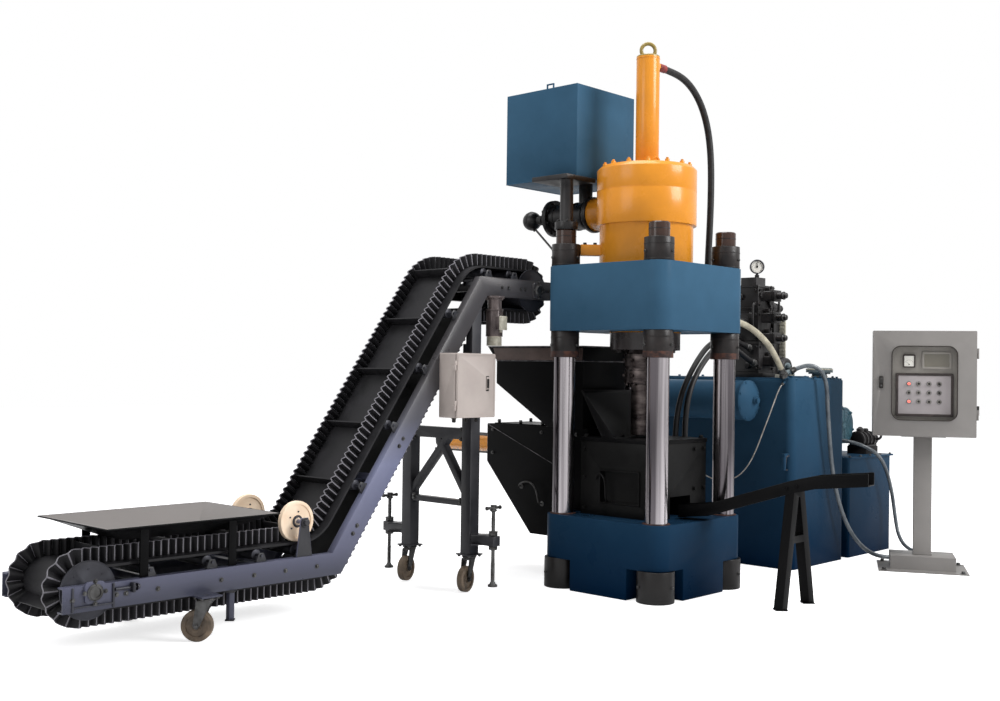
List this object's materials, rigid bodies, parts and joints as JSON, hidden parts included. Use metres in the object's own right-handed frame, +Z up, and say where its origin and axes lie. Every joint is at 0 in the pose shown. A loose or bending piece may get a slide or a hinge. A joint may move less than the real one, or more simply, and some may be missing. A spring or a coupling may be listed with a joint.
{
  "type": "metal chip briquetting machine",
  "caption": "Four-column hydraulic press that squeezes metal chips into briquettes, with an inclined belt feeder, discharge chute, oil tank and control cabinet.",
  "frame": {"origin": "on the floor below the press axis, at the middle of the press base", "axes": "+X along the belt's run towards the press and on to the oil tank, +Y from the press to its feed box, +Z up"},
  "size_m": [6.4828, 3.32, 3.507],
  "materials": {
    "machine_blue": "glossy",
    "nut_brown": "oiled",
    "column_chrome": "polished",
    "cylinder_yellow": "glossy",
    "valve_black": "painted black",
    "ram_steel": "ground",
    "mould_iron": "oily",
    "sheet_black": "satin",
    "frame_grey": "glossy",
    "jack_steel": "zinc",
    "caster_tan": "worn",
    "belt_rubber": "matt",
    "drum_steel": "satin",
    "wheel_cream": "smooth",
    "motor_cream": "satin",
    "starter_grey": "satin",
    "motor_teal": "satin",
    "needle_black": "smooth",
    "cabinet_beige": "fine texture",
    "panel_beige": "satin",
    "latch_black": "moulded",
    "hose_black": "smooth",
    "hose_beige": "smooth",
    "conduit_grey": "smooth",
    "cable_white": "smooth"
  },
  "bodies": {
    "machine": {"press_base": "machine_blue", "column_nuts": "nut_brown", "tie_columns": "column_chrome", "crosshead": "machine_blue", "main_cylinder": "cylinder_yellow", "cylinder_cap": "cylinder_yellow", "rapid_tube": "cylinder_yellow", "prefill_valve": "valve_black", "prefill_tank": "machine_blue", "tank_post": "valve_black", "mould_body": "mould_iron", "guide_funnel": "sheet_black", "discharge_chute": "sheet_black", "feed_box": "sheet_black", "feed_hopper": "sheet_black", "feed_cylinder": "cylinder_yellow", "conveyor_frame": "frame_grey", "leg_frame": "frame_grey", "sidewall_belt": "belt_rubber", "loading_tray": "sheet_black", "gearmotor": "motor_cream", "starter_box": "starter_grey", "oil_tank": "machine_blue", "oil_cooler": "machine_blue", "valve_manifold": "valve_black", "pump_motor": "motor_teal", "aux_tank": "machine_blue", "cabinet_stand": "cabinet_beige", "cabinet_box": "cabinet_beige", "control_panel": "panel_beige", "top_hose": "hose_black", "drain_hose": "hose_beige", "ram_hose_a": "hose_black", "ram_hose_b": "hose_black", "tank_conduit": "conduit_grey", "cabinet_conduit": "conduit_grey", "sensor_cable": "cable_white"},
    "ram_set": {"ram": "ram_steel", "punch": "ram_steel"},
    "ejector": {"ejector_slide": "ram_steel"},
    "pusher": {"feed_pusher": "ram_steel"},
    "near_jack": {"jack_near": "jack_steel"},
    "far_jack": {"jack_far": "jack_steel"},
    "head_near_caster": {"head_near_fork": "jack_steel"},
    "head_near_roller": {"head_near_wheel": "caster_tan"},
    "head_far_caster": {"head_far_fork": "jack_steel"},
    "head_far_roller": {"head_far_wheel": "caster_tan"},
    "tail_near_caster": {"tail_near_fork": "jack_steel"},
    "tail_near_roller": {"tail_near_wheel": "caster_tan"},
    "tail_far_caster": {"tail_far_fork": "jack_steel"},
    "tail_far_roller": {"tail_far_wheel": "caster_tan"},
    "head_roll": {"head_drum": "drum_steel"},
    "tail_roll": {"tail_drum": "drum_steel"},
    "near_press_wheel": {"hold_down_near": "wheel_cream"},
    "far_press_wheel": {"hold_down_far": "wheel_cream"},
    "starter_lid": {"starter_door": "starter_grey"},
    "cabinet_lid": {"cabinet_door": "cabinet_beige"},
    "latch": {"cabinet_latch": "latch_black"},
    "switch": {"main_switch": "latch_black"},
    "needle": {"gauge_needle": "needle_black"}
  },
  "joints": [
    {"name": "ram_stroke", "type": "slide", "parent": "machine", "child": "ram_set", "axis": [0, 0, -1], "range_m": [0, 0.29]},
    {"name": "ejector_stroke", "type": "slide", "parent": "machine", "child": "ejector", "axis": [0, -1, 0], "range_m": [0, 0.2]},
    {"name": "pusher_stroke", "type": "slide", "parent": "machine", "child": "pusher", "axis": [0, -1, 0], "range_m": [0, 0.5]},
    {"name": "near_jack_screw", "type": "slide", "parent": "machine", "child": "near_jack", "axis": [0, 0, 1], "range_m": [-0.045, 0.1]},
    {"name": "far_jack_screw", "type": "slide", "parent": "machine", "child": "far_jack", "axis": [0, 0, 1], "range_m": [-0.045, 0.1]},
    {"name": "head_near_swivel", "type": "hinge", "parent": "machine", "child": "head_near_caster", "pos_m": [-0.925, 0.65, 0.21], "axis": [0, 0, 1], "continuous": true},
    {"name": "head_near_roll", "type": "hinge", "parent": "head_near_caster", "child": "head_near_roller", "pos_m": [-0.96826, 0.6376, 0.08], "axis": [-0.2756, 0.9613, 0], "continuous": true},
    {"name": "head_far_swivel", "type": "hinge", "parent": "machine", "child": "head_far_caster", "pos_m": [-0.925, 1.195, 0.21], "axis": [0, 0, 1], "continuous": true},
    {"name": "head_far_roll", "type": "hinge", "parent": "head_far_caster", "child": "head_far_roller", "pos_m": [-0.96826, 1.1826, 0.08], "axis": [-0.2756, 0.9613, 0], "continuous": true},
    {"name": "tail_near_swivel", "type": "hinge", "parent": "machine", "child": "tail_near_caster", "pos_m": [-2.86, 0.5845, 0.21], "axis": [0, 0, 1], "continuous": true},
    {"name": "tail_near_roll", "type": "hinge", "parent": "tail_near_caster", "child": "tail_near_roller", "pos_m": [-2.89069, 0.61741, 0.08], "axis": [0.7314, 0.682, 0], "continuous": true},
    {"name": "tail_far_swivel", "type": "hinge", "parent": "machine", "child": "tail_far_caster", "pos_m": [-2.86, 1.2605, 0.21], "axis": [0, 0, 1], "continuous": true},
    {"name": "tail_far_roll", "type": "hinge", "parent": "tail_far_caster", "child": "tail_far_roller", "pos_m": [-2.89069, 1.29341, 0.08], "axis": [0.7314, 0.682, 0], "continuous": true},
    {"name": "head_drum_spin", "type": "hinge", "parent": "machine", "child": "head_roll", "pos_m": [-0.36, 0.9225, 1.899], "axis": [0, 1, 0], "continuous": true},
    {"name": "tail_drum_spin", "type": "hinge", "parent": "machine", "child": "tail_roll", "pos_m": [-3.455, 0.9225, 0.319], "axis": [0, 1, 0], "continuous": true},
    {"name": "near_wheel_spin", "type": "hinge", "parent": "machine", "child": "near_press_wheel", "pos_m": [-2.23, 0.6975, 0.5373], "axis": [0, 1, 0], "continuous": true},
    {"name": "far_wheel_spin", "type": "hinge", "parent": "machine", "child": "far_press_wheel", "pos_m": [-2.23, 1.1475, 0.5373], "axis": [0, 1, 0], "continuous": true},
    {"name": "starter_door_hinge", "type": "hinge", "parent": "machine", "child": "starter_lid", "pos_m": [-1.248, 0.469, 1.2795], "axis": [0, 0, 1], "range_deg": [-110, 0]},
    {"name": "cabinet_door_hinge", "type": "hinge", "parent": "machine", "child": "cabinet_lid", "pos_m": [2.10408, -1.31787, 1.3175], "axis": [0, 0, 1], "range_deg": [0, 120]},
    {"name": "latch_turn", "type": "hinge", "parent": "cabinet_lid", "child": "latch", "pos_m": [1.80543, -0.74839, 1.324], "axis": [-0.8906, -0.4548, 0], "range_deg": [0, 90]},
    {"name": "switch_turn", "type": "hinge", "parent": "machine", "child": "switch", "pos_m": [2.22344, -1.25917, 1.13], "axis": [0.4548, -0.8906, 0], "range_deg": [0, 90]},
    {"name": "needle_turn", "type": "hinge", "parent": "machine", "child": "needle", "pos_m": [1.55635, 0.11658, 2.17], "axis": [-0.7293, -0.6842, 0], "range_deg": [-270, 0]}
  ],
  "couplings": [
    {"joint": "tail_drum_spin", "follows": "head_drum_spin", "ratio": 1.2917},
    {"joint": "near_wheel_spin", "follows": "head_drum_spin", "ratio": -1.1273},
    {"joint": "far_wheel_spin", "follows": "head_drum_spin", "ratio": -1.1273}
  ]
}
